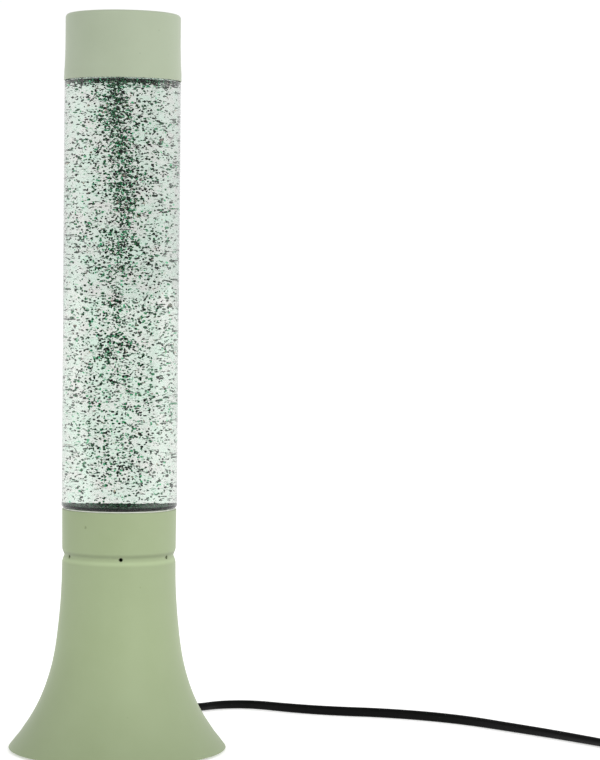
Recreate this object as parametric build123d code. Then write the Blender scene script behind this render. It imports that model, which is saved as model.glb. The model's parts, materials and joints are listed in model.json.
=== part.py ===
from build123d import *
import math
import os
import random

os.makedirs("parts", exist_ok=True)

# ---------------------------------------------------------------- sizes, mm
# Frame: origin on the floor under the lamp's axis, +Z up, -Y is the front.
TOTAL_H = 400.0        # floor to the top of the cap
FOOT_H = 2.0           # rubber feet lift the hem off the floor
SHELL_T = 0.8          # spun steel base
HEM_Z = 1.2            # underside of the rolled-in hem
HEM_R = 59.7
HEM_INNER_R = 52.5
RIM_Z = 132.0          # top edge of the base's neck
NECK_R = 30.9
GROOVE_Z = 106.95
GROOVE_R = 29.98
VENT_R = 1.05
VENT_ANGLES = [-63.5, 2.0, 59.5, 121.0, 182.0, 238.0]   # round the axis from the front

PLATE_T = 0.9
PLATE_R = 56.4
PLATEAU_TOP = 8.0

TUBE_R = 31.5          # glass cylinder, 63 mm
TUBE_WALL = 2.0
TUBE_BOTTOM = 132.7
TUBE_SHOULDER = 364.0
CAP_RIM_Z = 364.2
CAP_RIM_R = 31.75
CAP_R = 31.15
CAP_T = 0.6

BULB_TIP_Z = 27.0
BULB_TOP_Z = 93.0      # R39 reflector, 66 mm long
BULB_R = 19.5
THREAD_R = 6.9         # E14 cap

CORD_W, CORD_T = 5.2, 3.2   # flat twin flex
CORD_R = CORD_W / 2         # its stand-in tube is round, as wide as the flex
EXIT_Z = 8.5
EXIT_Y = 82.0          # end of the strain relief

SW_X, SW_Y0, SW_Y1 = 304.0, -56.0, -116.0   # in-line switch, lying on the floor
SW_SPLIT = 5.0
SW_TOP = 14.0
ROCKER_PIVOT_Z = 10.6
ROCKER_TILT = 11.0

COIL_X, COIL_Y = 356.0, -122.0
COIL_MID_R = 29.5
COIL_Z0, COIL_Z1 = 0.7, 11.2
COIL_TURNS = 5.25
PLUG_X, PLUG_REAR_Y, PLUG_Z = 389.0, -82.0, 6.85


def save(shape, name):
    export_step(shape, f"parts/{name}.step")


def spin(points_or_edges):
    """Turns a closed profile in the XZ plane round the Z axis."""
    face = make_face(Wire(points_or_edges))
    return revolve(face, axis=Axis.Z)


def poly(*rz):
    pts = [Vector(r, 0, z) for r, z in rz]
    return [Line(a, b) for a, b in zip(pts, pts[1:] + pts[:1])]


def ring(r_out, r_in, z0, z1):
    return Pos(0, 0, (z0 + z1) / 2) * (
        Cylinder(r_out, z1 - z0) - Cylinder(r_in, z1 - z0 + 2) if r_in > 0 else Cylinder(r_out, z1 - z0)
    )


def rod(r, p, q):
    """A round bar from p to q."""
    p, q = Vector(*p), Vector(*q)
    return extrude(Plane(origin=p, z_dir=(q - p)) * Circle(r), (q - p).length)


def corner_radii(points):
    out = []
    for a, b, c in zip(points, points[1:], points[2:]):
        u, v = b - a, c - b
        turn = math.radians(u.get_angle(v))
        out.append(0.45 * min(u.length, v.length) / math.tan(turn / 2))
    return out


def tube(label, pts, r):
    points = [Vector(*p) for p in pts]
    radii = corner_radii(points)
    path = FilletPolyline(*points, radius=radii)
    start = points[1] - points[0]
    body = sweep(Plane(origin=points[0], z_dir=start) * Circle(r), path=path)
    exact = math.pi * r * r * path.length
    print(label, "length", round(path.length, 1), "radii", [round(x, 1) for x in radii],
          "volume", round(body.volume), "section x length", round(exact))
    return body, path.length


def offset_points(edge, inward, n):
    """Points beside a profile edge, moved inward along its normal."""
    out = []
    for k in range(n + 1):
        p, t = edge.position_at(k / n), edge.tangent_at(k / n)
        normal = Vector(-t.Z, 0, t.X).normalized()
        if normal.X > 0:
            normal = normal * -1
        out.append(p + normal * inward)
    return out


# ---------------------------------------------------------------- base shell
# Trumpet flare, a rolled-in groove that the bottle foot stands over, a straight neck,
# and a hem turned in at the bottom.  One thickness of spun sheet throughout.
FLARE = [(HEM_R, HEM_Z), (58.35, 2.9), (55.9, 6.05), (53.15, 9.5), (50.8, 12.95), (48.55, 16.25),
         (46.55, 19.5), (44.68, 22.85), (43.05, 26.1), (41.52, 29.45), (39.02, 36.0), (36.98, 42.6),
         (35.35, 49.2), (34.15, 55.75), (33.25, 62.35), (32.5, 69.05), (31.87, 75.6), (31.37, 82.2),
         (31.02, 88.75), (30.8, 95.35), (30.72, 101.9)]
GROOVE = [(30.72, 101.9), (30.5, 103.6), (30.12, 105.3), (GROOVE_R, GROOVE_Z), (30.12, 108.6),
          (30.52, 110.3), (30.76, 112.0)]
flare = Spline([Vector(r, 0, z) for r, z in FLARE], tangents=[Vector(-0.62, 0, 0.78), Vector(-0.02, 0, 1)])
groove = Spline([Vector(r, 0, z) for r, z in GROOVE], tangents=[Vector(-0.02, 0, 1), Vector(0.02, 0, 1)])
neck_top, neck_low = Vector(NECK_R, 0, RIM_Z), Vector(30.76, 0, 112.0)
in_flare = [p for p in offset_points(flare, SHELL_T, 40) if p.Z > HEM_Z + SHELL_T + 0.4]
in_groove = offset_points(groove, SHELL_T, 12)
hem_in = Vector(in_flare[0].X + (in_flare[0].Z - HEM_Z - SHELL_T) * 0.8, 0, HEM_Z + SHELL_T)
in_flare = [hem_in] + in_flare[:-1] + [in_groove[0]]
inner_rim = Vector(NECK_R - SHELL_T, 0, RIM_Z)
profile = [
    flare, groove, Line(neck_low, neck_top), Line(neck_top, inner_rim),
    Line(inner_rim, in_groove[-1]), Spline(in_groove), Spline(in_flare),
    Line(hem_in, Vector(HEM_INNER_R, 0, HEM_Z + SHELL_T)),
    Line(Vector(HEM_INNER_R, 0, HEM_Z + SHELL_T), Vector(HEM_INNER_R, 0, HEM_Z)),
    Line(Vector(HEM_INNER_R, 0, HEM_Z), Vector(HEM_R, 0, HEM_Z)),
]
base_shell = revolve(make_face(Wire(profile)), axis=Axis.Z)
for a in VENT_ANGLES:
    t = math.radians(a)
    d = Vector(math.sin(t), -math.cos(t), 0)
    base_shell -= rod(VENT_R, tuple(d * 26 + Vector(0, 0, GROOVE_Z)), tuple(d * 34 + Vector(0, 0, GROOVE_Z)))
base_shell -= rod(3.95, (0, 44, EXIT_Z), (0, 66, EXIT_Z))
SCREW_AT = [(54.5 * math.cos(math.radians(a)), 54.5 * math.sin(math.radians(a))) for a in (30, 150, 270)]
for x, y in SCREW_AT:
    base_shell -= rod(1.3, (x, y, 0.5), (x, y, 2.4))
save(base_shell, "base_shell")

# ---------------------------------------------------------------- bottom plate
plate = revolve(make_face(Wire(poly(
    (PLATE_R, 2.0), (PLATE_R, 2.0 + PLATE_T), (33.4, 2.0 + PLATE_T), (31.0, PLATEAU_TOP), (5.15, PLATEAU_TOP),
    (5.15, PLATEAU_TOP - PLATE_T), (30.4, PLATEAU_TOP - PLATE_T), (32.8, 2.0)))), axis=Axis.Z)
FEET_AT = [(45 * math.cos(math.radians(a)), 45 * math.sin(math.radians(a))) for a in (45, 135, 225, 315)]
for x, y in FEET_AT:
    plate -= rod(2.05, (x, y, 1), (x, y, 4))
for x, y in SCREW_AT:
    plate -= rod(1.25, (x, y, 1), (x, y, 4))
for k in range(12):          # slots that let cooling air in from below
    a = 30 * k + 15
    if a % 90 == 45:
        continue
    slot = Rot(0, 0, a) * (Pos(44, 0, 2.45) * Box(12, 2.4, 3))
    plate -= slot
for sx in (-1, 1):           # clearance for the cord clamp's screws
    plate -= rod(1.25, (sx * 7.0, 41.0, 1), (sx * 7.0, 41.0, 4))
save(plate, "bottom_plate")

feet = []
for x, y in FEET_AT:
    foot = rod(6.0, (x, y, 0), (x, y, 2.0)) + rod(2.0, (x, y, 1.9), (x, y, 3.0)) + rod(2.8, (x, y, 2.95), (x, y, 3.9))
    foot = fillet(foot.edges().filter_by(GeomType.CIRCLE).group_by(Axis.Z)[0], 0.6)
    feet.append(foot)
save(Compound(feet), "rubber_feet")

screws = []
for x, y in SCREW_AT:
    head = rod(2.1, (x, y, 0.25), (x, y, HEM_Z))
    head -= Pos(x, y, 0.3) * Box(2.6, 0.5, 0.6)
    head -= Pos(x, y, 0.3) * Box(0.5, 2.6, 0.6)
    screws.append(head + rod(1.2, (x, y, HEM_Z - 0.1), (x, y, 3.9)))
save(Compound(screws), "base_screws")

# ---------------------------------------------------------------- nipple, nut, washer
save(ring(5.0, 3.6, 2.6, 13.0), "threaded_nipple")
nut = extrude(Plane.XY.offset(3.6) * RegularPolygon(8.0, 6), 3.0) - ring(5.03, 0, 2, 8)
save(chamfer(nut.edges().group_by(Axis.Z)[0].filter_by(GeomType.LINE), 0.4), "nipple_nut")
washer = ring(8.4, 5.1, 6.6, PLATEAU_TOP - PLATE_T)
for k in range(12):
    washer -= Rot(0, 0, 30 * k) * (Pos(8.4, 0, 6.85) * Box(1.6, 0.9, 1))
save(washer, "lock_washer")

# ---------------------------------------------------------------- E14 lamp holder
holder_base = ring(13.0, 11.2, PLATEAU_TOP, 20.0) + ring(12.9, 5.1, PLATEAU_TOP, 9.6)
for s in (-1, 1):
    holder_base -= rod(1.35, (s * 3.2, 8, 15.0), (s * 3.2, 15, 15.0))
save(holder_base, "holder_base")
holder_body = ring(12.6, 7.45, 20.0, 44.0) + ring(12.6, 0, 20.0, 24.0)
holder_body += ring(14.0, 12.5, 20.0, 23.0)
for s in (-1, 1):            # terminal bores in the underside
    holder_body -= rod(1.7, (s * 5.0, 0, 19), (s * 5.0, 0, 22.4))
holder_body = fillet(holder_body.edges().filter_by(GeomType.CIRCLE).group_by(Axis.Z)[-1], 0.5)
save(holder_body, "holder_body")
save(ring(7.4, 7.05, 25.2, 43.0), "holder_thread_insert")
contact = Pos(0, 0, 24.2) * Box(4.0, 11.0, 0.4)
contact += Pos(0, 0, 25.6) * Box(3.6, 4.0, 2.6)
contact -= Pos(0, 0, 25.25) * Box(5.0, 3.2, 2.6)
contact += Pos(0, 0, 26.75) * Box(3.6, 4.0, 0.4)
save(contact, "holder_centre_contact")
terms = [rod(1.65, (s * 5.0, 0, 16.4), (s * 5.0, 0, 22.3)) for s in (-1, 1)]
terms = [t - Pos(s * 5.0, 0, 16.3) * Box(2.4, 0.5, 1.0) for t, s in zip(terms, (-1, 1))]
save(Compound(terms), "terminal_screws")

# ---------------------------------------------------------------- cord inside the base
# The flex comes straight in through the strain relief, is gripped by a saddle clamp,
# and its two conductors rise to the holder's terminals.
stadium = SlotOverall(CORD_W, CORD_T)
inner_cord = extrude(Plane(origin=(0, EXIT_Y, EXIT_Z), x_dir=(1, 0, 0), z_dir=(0, -1, 0)) * stadium, EXIT_Y - 36.0)
save(inner_cord, "inner_cord")
wires = []
for s in (-1, 1):
    w, _ = tube("inner wire", [(s * 1.3, 36.0, EXIT_Z), (s * 1.3, 32.6, EXIT_Z), (s * 1.7, 28.6, 10.6), (s * 2.5, 23.0, 13.4),
                               (s * 3.2, 16.0, 15.0), (s * 3.6, 9.5, 15.05), (s * 4.9, 3.6, 15.0)], 0.95)
    wires.append(w)
save(Compound(wires), "inner_wires")
clamp = Pos(0, 41.0, 4.75) * Box(19.0, 7.0, 3.7)
clamp += Pos(0, 41.0, 11.3) * Box(19.0, 7.0, 2.0)
clamp += Pos(-5.6, 41.0, 8.4) * Box(3.8, 7.0, 4.2) + Pos(5.6, 41.0, 8.4) * Box(3.8, 7.0, 4.2)
for s in (-1, 1):
    clamp -= rod(1.3, (s * 7.0, 41.0, 2), (s * 7.0, 41.0, 13))
save(clamp, "cord_clamp")
cs = [rod(1.2, (s * 7.0, 41.0, 2.2), (s * 7.0, 41.0, 12.35)) + rod(2.2, (s * 7.0, 41.0, 12.3), (s * 7.0, 41.0, 13.7)) for s in (-1, 1)]
save(Compound(cs), "clamp_screws")

# ---------------------------------------------------------------- strain relief
# A moulded bush: a collar inside the wall, a shank through it, and a tapered, ribbed tail.
relief = rod(5.4, (0, 45.4, EXIT_Z), (0, 48.6, EXIT_Z)) + rod(3.85, (0, 48.0, EXIT_Z), (0, 60.2, EXIT_Z))
tail = loft([Plane(origin=(0, 60.0, EXIT_Z), z_dir=(0, 1, 0)) * Circle(4.6),
             Plane(origin=(0, EXIT_Y, EXIT_Z), z_dir=(0, 1, 0)) * Circle(3.25)])
for k in range(5):
    y = 64.0 + 3.3 * k
    r = 4.6 - (y - 60) * 1.35 / 22
    tail -= rod(r + 1, (0, y, EXIT_Z), (0, y + 1.3, EXIT_Z)) - rod(r - 0.55, (0, y - 1, EXIT_Z), (0, y + 3, EXIT_Z))
relief += tail
relief -= extrude(Plane(origin=(0, EXIT_Y + 1, EXIT_Z), x_dir=(1, 0, 0), z_dir=(0, -1, 0)) * SlotOverall(CORD_W + 0.04, CORD_T + 0.04), 40)
save(relief, "strain_relief")

# ---------------------------------------------------------------- cord on the floor
LEAD = [(0, EXIT_Y, EXIT_Z), (0, 92.5, EXIT_Z), (4.1, 104.8, 6.6), (12, 115.2, 4.1), (22.7, 122.5, 2.75), (35.2, 126, 2.6),
        (47.5, 129, 2.6), (60, 136.8, 2.6), (80, 138.4, 2.6), (103, 124.5, 2.6), (128, 114.5, 2.6), (153, 108.5, 2.6),
        (178, 98, 2.6), (203, 81, 2.6), (223, 59, 2.6), (243, 37.5, 2.6), (262, 14.5, 2.6), (277.5, -3, 2.6),
        (289, -18.5, 2.65), (298, -31.5, 3.2), (303.2, -44, 4.5), (SW_X, SW_Y0, SW_SPLIT)]
lead, lead_len = tube("cord_lead", LEAD, CORD_R)
save(lead, "cord_lead")
TAIL = [(SW_X, SW_Y1, SW_SPLIT), (304.2, -129, 3.9), (309.3, -141, 3.35), (318.5, -150.2, 3.3), (330.5, -155, 3.3),
        (344.5, -154.95, 3.3)]
tail_cord, tail_len = tube("cord_tail", TAIL, CORD_R)
save(tail_cord, "cord_tail")
bundle = Plane.XZ * Pos(COIL_MID_R, (COIL_Z0 + COIL_Z1) / 2) * RectangleRounded(12.0, COIL_Z1 - COIL_Z0, 1.6)
save(Pos(COIL_X, COIL_Y, 0) * revolve(bundle, axis=Axis.Z), "cord_coil")
END = [(COIL_X + 32.9, COIL_Y + 3.0, 8.2), (389.3, -107, 8.0), (389, -93.5, PLUG_Z), (PLUG_X, PLUG_REAR_Y, PLUG_Z)]
end_cord, end_len = tube("cord_end", END, CORD_R)
save(end_cord, "cord_end")
coil_len = COIL_TURNS * 2 * math.pi * COIL_MID_R
print("cord total, m", round((lead_len + tail_len + end_len + coil_len + (SW_Y0 - SW_Y1)) / 1000, 3))
tie = Pos(COIL_X, COIL_Y, 0) * (Rot(0, 0, 140) * (Pos(COIL_MID_R, 0, (COIL_Z0 + COIL_Z1) / 2) * (
    Box(13.3, 3.0, COIL_Z1 - COIL_Z0 + 1.3) - Box(12.1, 4.0, COIL_Z1 - COIL_Z0 + 0.1))))
save(tie, "coil_tie")

# ---------------------------------------------------------------- in-line switch
def sw_face(grow):
    """Plan of the switch: parallel sides, narrowing to the cord entries."""
    h, w, n = 30 + grow, 11 + grow, 6.4 + grow
    pts = [(-n, -h), (n, -h), (w, -h + 13), (w, h - 13), (n, h), (-n, h), (-w, h - 13), (-w, -h + 13)]
    return make_face(Polyline(*pts, close=True))


sw_mid = (SW_Y0 + SW_Y1) / 2
at_switch = Pos(SW_X, sw_mid, 0)
inside_plan = make_face(Polyline((-8.6, -16), (8.6, -16), (8.6, 16), (-8.6, 16), close=True))
low = extrude(sw_face(0), SW_SPLIT)
low = fillet(low.edges().filter_by(Axis.Z), 2.0)
low = fillet(low.edges().group_by(Axis.Z)[0], 1.2)
low -= Pos(0, 0, 1.4) * extrude(inside_plan, SW_SPLIT)
high = Pos(0, 0, SW_SPLIT) * extrude(sw_face(0), SW_TOP - SW_SPLIT)
high = fillet(high.edges().filter_by(Axis.Z), 2.0)
high = fillet(high.edges().group_by(Axis.Z)[-1], 2.2)
high -= Pos(0, 0, SW_SPLIT - 1) * extrude(inside_plan, SW_TOP - SW_SPLIT - 0.6)
high -= Pos(0, 0, SW_TOP) * Box(9.6, 19.0, 8.0)
for s in (-1, 1):
    bore = rod(CORD_R + 0.05, (0, s * 20.0, SW_SPLIT), (0, s * 31.0, SW_SPLIT))
    low, high = low - bore, high - bore
    hole = rod(1.3, (s * 4.2, -s * 19.5, -1), (s * 4.2, -s * 19.5, 10.0))
    low, high = low - hole, high - hole
    low -= rod(2.4, (s * 4.2, -s * 19.5, -1), (s * 4.2, -s * 19.5, 1.5))
high -= rod(0.8, (-6.5, 0, ROCKER_PIVOT_Z), (6.5, 0, ROCKER_PIVOT_Z))
save(at_switch * low, "switch_bottom")
save(at_switch * high, "switch_top")
sws = [rod(1.2, (s * 4.2, -s * 19.5, 1.4), (s * 4.2, -s * 19.5, 9.6)) + rod(2.2, (s * 4.2, -s * 19.5, 0.5), (s * 4.2, -s * 19.5, 1.5)) for s in (-1, 1)]
save(at_switch * Compound(sws), "switch_screws")
save(at_switch * rod(0.75, (-6.3, 0, ROCKER_PIVOT_Z), (6.3, 0, ROCKER_PIVOT_Z)), "rocker_pin")
cont = [Pos(s * 4.5, 0, 2.1) * Box(2.2, 26, 0.5) + Pos(s * 4.5, s * 6.0, 3.1) * Box(2.2, 2.2, 2.0) for s in (-1, 1)]
save(at_switch * Compound(cont), "switch_contacts")
# The rocker: a shallow vee on top, a pivot boss below, tipped to its off side.
vee = make_face(Polyline((-8.4, -1.2), (-8.4, 4.6), (-7.2, 5.4), (0, 4.0), (7.2, 5.4), (8.4, 4.6), (8.4, -1.2), (0, -3.4), close=True))
rocker = extrude(Plane(origin=(-4.3, 0, ROCKER_PIVOT_Z), x_dir=(0, 1, 0), z_dir=(1, 0, 0)) * vee, 8.6)
rocker -= rod(0.83, (-6, 0, ROCKER_PIVOT_Z), (6, 0, ROCKER_PIVOT_Z))
rocker = Pos(0, 0, ROCKER_PIVOT_Z) * (Rot(ROCKER_TILT, 0, 0) * (Pos(0, 0, -ROCKER_PIVOT_Z) * rocker))
save(at_switch * rocker, "switch_rocker")

# ---------------------------------------------------------------- two-pin plug
plan = make_face(Polyline((-4.2, 0), (4.2, 0), (5.4, 9.0), (15.2, 17.5), (17.4, 24.0), (17.4, 37.0), (-17.4, 37.0),
                          (-17.4, 24.0), (-15.2, 17.5), (-5.4, 9.0), close=True))
body = extrude(plan, 13.7)
body = fillet(body.edges().filter_by(Axis.Z), 2.4)
body = fillet(body.edges().group_by(Axis.Z)[0] + body.edges().group_by(Axis.Z)[-1], 2.6 * 0.8)
at_plug = Pos(PLUG_X, PLUG_REAR_Y, 0)
for s in (-1, 1):
    body -= rod(1.72, (s * 9.5, 33, PLUG_Z), (s * 9.5, 40, PLUG_Z))
save(at_plug * body, "plug_body")
pins, sleeves = [], []
for s in (-1, 1):
    sleeve = rod(1.7, (s * 9.5, 33.0, PLUG_Z), (s * 9.5, 37.2, PLUG_Z)) + rod(2.0, (s * 9.5, 37.0, PLUG_Z), (s * 9.5, 46.0, PLUG_Z))
    sleeves.append(sleeve - rod(1.3, (s * 9.5, 32.0, PLUG_Z), (s * 9.5, 47.0, PLUG_Z)))
    pin = rod(1.3, (s * 9.5, 33.0, PLUG_Z), (s * 9.5, 46.2, PLUG_Z)) + rod(2.0, (s * 9.5, 46.0, PLUG_Z), (s * 9.5, 56.0, PLUG_Z))
    pins.append(fillet(pin.edges().group_by(Axis.Y)[-1], 1.2))
save(at_plug * Compound(pins), "plug_pins")
save(at_plug * Compound(sleeves), "plug_pin_sleeves")

# ---------------------------------------------------------------- bulb
save(ring(2.2, 0, BULB_TIP_Z, 28.6), "bulb_contact_tip")
save(revolve(make_face(Wire(poly((2.3, 27.7), (3.2, 27.7), (6.3, 30.0), (2.3, 30.0)))), axis=Axis.Z), "bulb_insulator")
cap_prof = poly((2.3, 30.05), (THREAD_R, 30.05), (THREAD_R, 44.3), (7.6, 44.9), (7.6, 46.6), (7.3, 46.6), (7.3, 45.1), (6.6, 44.5), (6.6, 30.35), (2.3, 30.35))
save(revolve(make_face(Wire(cap_prof)), axis=Axis.Z), "bulb_screw_cap")
GLASS = [(6.5, 42.0), (6.5, 46.0), (7.2, 49.5), (9.4, 54.5), (12.4, 60.5), (15.5, 67.5), (18.1, 75.5), (19.35, 81.5),
         (BULB_R, 84.5), (18.8, 87.3), (16.2, 89.8), (11.0, 91.9), (5.0, 92.8), (0, BULB_TOP_Z)]
gl_out = Spline([Vector(r, 0, z) for r, z in GLASS[1:]], tangents=[Vector(0.05, 0, 1), Vector(-1, 0, 0)])
gl_in_pts = offset_points(gl_out, 0.8, 34)
gl_in_pts[-1] = Vector(0, 0, BULB_TOP_Z - 0.8)
gl_in_pts = [Vector(5.7, 0, 46.0)] + gl_in_pts[1:]
g0, g1 = Vector(6.5, 0, 42.0), Vector(5.7, 0, 42.0)
bulb_glass = revolve(make_face(Wire([Line(g0, Vector(6.5, 0, 46.0)), gl_out, Line(Vector(0, 0, BULB_TOP_Z), gl_in_pts[-1]),
                                     Spline(gl_in_pts), Line(gl_in_pts[0], g1), Line(g1, g0)])), axis=Axis.Z)
save(bulb_glass, "bulb_glass")
stem = revolve(make_face(Wire(poly((0, 42.0), (5.6, 42.0), (5.6, 42.8), (3.0, 45.5), (1.6, 50.0), (1.6, 60.0), (2.4, 61.5), (0, 61.5)))), axis=Axis.Z)
save(stem, "bulb_stem")
fil, _ = tube("filament", [(-6.0, 0, 69.0), (-3.0, 1.2, 70.2), (0, 0.2, 69.2), (3.0, 1.2, 70.2), (6.0, 0, 69.0)], 0.35)
save(fil, "bulb_filament")
sup = []
for s in (-1, 1):
    w, _ = tube("support", [(s * 1.3, 0, 61.6), (s * 1.6, 0, 63.0), (s * 5.2, 0, 66.5), (s * 6.2, 0, 68.4)], 0.3)
    sup.append(w)
save(Compound(sup), "filament_supports")

# ---------------------------------------------------------------- bottle
SPIGOT_R = 29.9
outer = [
    Line(Vector(0, 0, TUBE_BOTTOM), Vector(TUBE_R - 1.5, 0, TUBE_BOTTOM)),
    ThreePointArc(Vector(TUBE_R - 1.5, 0, TUBE_BOTTOM), Vector(TUBE_R - 0.439, 0, TUBE_BOTTOM + 0.439), Vector(TUBE_R, 0, TUBE_BOTTOM + 1.5)),
    Line(Vector(TUBE_R, 0, TUBE_BOTTOM + 1.5), Vector(TUBE_R, 0, TUBE_SHOULDER - 0.7)),
    ThreePointArc(Vector(TUBE_R, 0, TUBE_SHOULDER - 0.7), Vector(TUBE_R - 0.205, 0, TUBE_SHOULDER - 0.205), Vector(TUBE_R - 0.7, 0, TUBE_SHOULDER)),
    Line(Vector(TUBE_R - 0.7, 0, TUBE_SHOULDER), Vector(SPIGOT_R, 0, TUBE_SHOULDER)),
    Line(Vector(SPIGOT_R, 0, TUBE_SHOULDER), Vector(SPIGOT_R, 0, 368.0)),
    Spline([Vector(SPIGOT_R, 0, 368.0), Vector(26.5, 0, 372.6), Vector(19.0, 0, 376.2), Vector(14.2, 0, 379.4), Vector(13.0, 0, 382.5)],
           tangents=[Vector(0, 0, 1), Vector(0, 0, 1)]),
    Line(Vector(13.0, 0, 382.5), Vector(13.0, 0, 389.0)),
    Line(Vector(13.0, 0, 389.0), Vector(11.0, 0, 389.0)),
    Line(Vector(11.0, 0, 389.0), Vector(11.0, 0, 381.5)),
    Spline([Vector(11.0, 0, 381.5), Vector(12.4, 0, 377.6), Vector(17.8, 0, 374.0), Vector(25.0, 0, 370.6), Vector(27.9, 0, 366.8)],
           tangents=[Vector(0, 0, -1), Vector(0.1, 0, -1)]),
    Line(Vector(27.9, 0, 366.8), Vector(27.9, 0, 364.4)),
    Line(Vector(27.9, 0, 364.4), Vector(29.5, 0, 361.6)),
    Line(Vector(29.5, 0, 361.6), Vector(29.5, 0, 134.9)),
    Line(Vector(29.5, 0, 134.9), Vector(28.6, 0, 133.9)),
    Line(Vector(28.6, 0, 133.9), Vector(0, 0, 133.9)),
    Line(Vector(0, 0, 133.9), Vector(0, 0, TUBE_BOTTOM)),
]
save(revolve(make_face(Wire(outer)), axis=Axis.Z), "glass_bottle")
save(ring(30.6, 25.0, RIM_Z, TUBE_BOTTOM) + ring(29.7, 28.2, 121.0, RIM_Z + 0.3), "foot_collar")
save(revolve(make_face(Wire(poly((0, 134.5), (29.0, 134.5), (29.45, 135.0), (29.45, 361.5), (27.85, 364.3), (27.85, 366.5), (0, 366.5)))), axis=Axis.Z), "liquid_fill")
save(ring(28.5, 0, 133.95, 134.5), "glitter_sediment")
rng = random.Random(7)
flakes = []
while len(flakes) < 72:
    r, a, z = 27.5 * math.sqrt(rng.random()), rng.uniform(0, 2 * math.pi), rng.uniform(137, 363)
    p = Vector(r * math.cos(a), r * math.sin(a), z)
    if any((p - q).length < 4 for q, _ in flakes):
        continue
    hexa = extrude(RegularPolygon(0.65, 6), 0.12)
    flakes.append((p, Pos(p) * (Rot(rng.uniform(0, 180), rng.uniform(0, 180), 0) * hexa)))
save(Compound([f for _, f in flakes]), "glitter_flakes")
save(ring(10.9, 0, 380.5, 390.05) + ring(12.9, 0, 390.0, 391.6), "bottle_stopper")
save(ring(12.9, 11.1, 389.0, 390.0), "bottle_seal")
closure = ring(15.2, 13.1, 383.5, 393.6) + ring(15.0, 0, 391.6, 393.6)
for k in range(36):
    closure -= Rot(0, 0, 10 * k) * (Pos(15.35, 0, 388.0) * Box(0.8, 1.1, 8.0))
save(closure, "bottle_closure")

# ---------------------------------------------------------------- cap
cap_out = [(CAP_RIM_R, CAP_RIM_Z), (31.75, 366.0), (31.66, 369.0), (31.45, 372.2), (31.32, 375.6), (31.22, 379.5), (CAP_R, 385.0)]
cap_in = [(CAP_RIM_R - CAP_T, CAP_RIM_Z), (31.15, 366.0), (31.06, 369.0), (30.85, 372.2), (30.72, 375.6), (30.62, 379.5), (CAP_R - CAP_T, 385.0)]
s_out = Spline([Vector(r, 0, z) for r, z in cap_out], tangents=[Vector(0, 0, 1), Vector(0, 0, 1)])
s_in = Spline([Vector(r, 0, z) for r, z in reversed(cap_in)], tangents=[Vector(0, 0, -1), Vector(0, 0, -1)])
R_TOP = 2.0
k45 = math.sqrt(0.5)
top_cap = revolve(make_face(Wire([
    s_out,
    Line(Vector(CAP_R, 0, 385.0), Vector(CAP_R, 0, TOTAL_H - R_TOP)),
    ThreePointArc(Vector(CAP_R, 0, TOTAL_H - R_TOP), Vector(CAP_R - R_TOP + R_TOP * k45, 0, TOTAL_H - R_TOP + R_TOP * k45), Vector(CAP_R - R_TOP, 0, TOTAL_H)),
    Line(Vector(CAP_R - R_TOP, 0, TOTAL_H), Vector(0, 0, TOTAL_H)),
    Line(Vector(0, 0, TOTAL_H), Vector(0, 0, TOTAL_H - 0.8)),
    Line(Vector(0, 0, TOTAL_H - 0.8), Vector(CAP_R - R_TOP, 0, TOTAL_H - 0.8)),
    ThreePointArc(Vector(CAP_R - R_TOP, 0, TOTAL_H - 0.8), Vector(CAP_R - R_TOP + 1.3 * k45, 0, TOTAL_H - R_TOP + 1.2 * k45 - 0.05), Vector(CAP_R - CAP_T, 0, TOTAL_H - R_TOP - 0.1)),
    Line(Vector(CAP_R - CAP_T, 0, TOTAL_H - R_TOP - 0.1), Vector(CAP_R - CAP_T, 0, 385.0)),
    s_in,
    Line(Vector(CAP_RIM_R - CAP_T, 0, CAP_RIM_Z), Vector(CAP_RIM_R, 0, CAP_RIM_Z)),
])), axis=Axis.Z)
save(top_cap, "top_cap")
save(ring(14.0, 0, 393.6, TOTAL_H - 0.8), "cap_pad")
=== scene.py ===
import json
import math

import bpy
import numpy as np
from mathutils import Matrix, Vector


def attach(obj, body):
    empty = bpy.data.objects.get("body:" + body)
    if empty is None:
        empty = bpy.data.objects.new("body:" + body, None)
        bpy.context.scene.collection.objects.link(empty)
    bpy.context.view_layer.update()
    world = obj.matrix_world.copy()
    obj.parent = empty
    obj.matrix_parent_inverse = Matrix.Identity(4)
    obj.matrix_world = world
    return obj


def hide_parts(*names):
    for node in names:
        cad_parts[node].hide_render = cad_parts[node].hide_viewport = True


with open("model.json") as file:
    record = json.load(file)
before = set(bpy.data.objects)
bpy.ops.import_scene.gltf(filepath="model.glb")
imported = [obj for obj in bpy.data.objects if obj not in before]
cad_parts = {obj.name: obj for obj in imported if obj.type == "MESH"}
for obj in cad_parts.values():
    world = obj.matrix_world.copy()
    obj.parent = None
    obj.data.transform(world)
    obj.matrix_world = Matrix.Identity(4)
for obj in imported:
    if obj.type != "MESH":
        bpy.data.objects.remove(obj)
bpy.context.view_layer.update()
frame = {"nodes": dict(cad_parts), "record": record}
nodes = frame["nodes"]
scene = bpy.context.scene
scene.view_settings.view_transform = "Standard"
scene.view_settings.look = "None"
MM = 0.001
Z = Vector((0, 0, 1))

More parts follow.
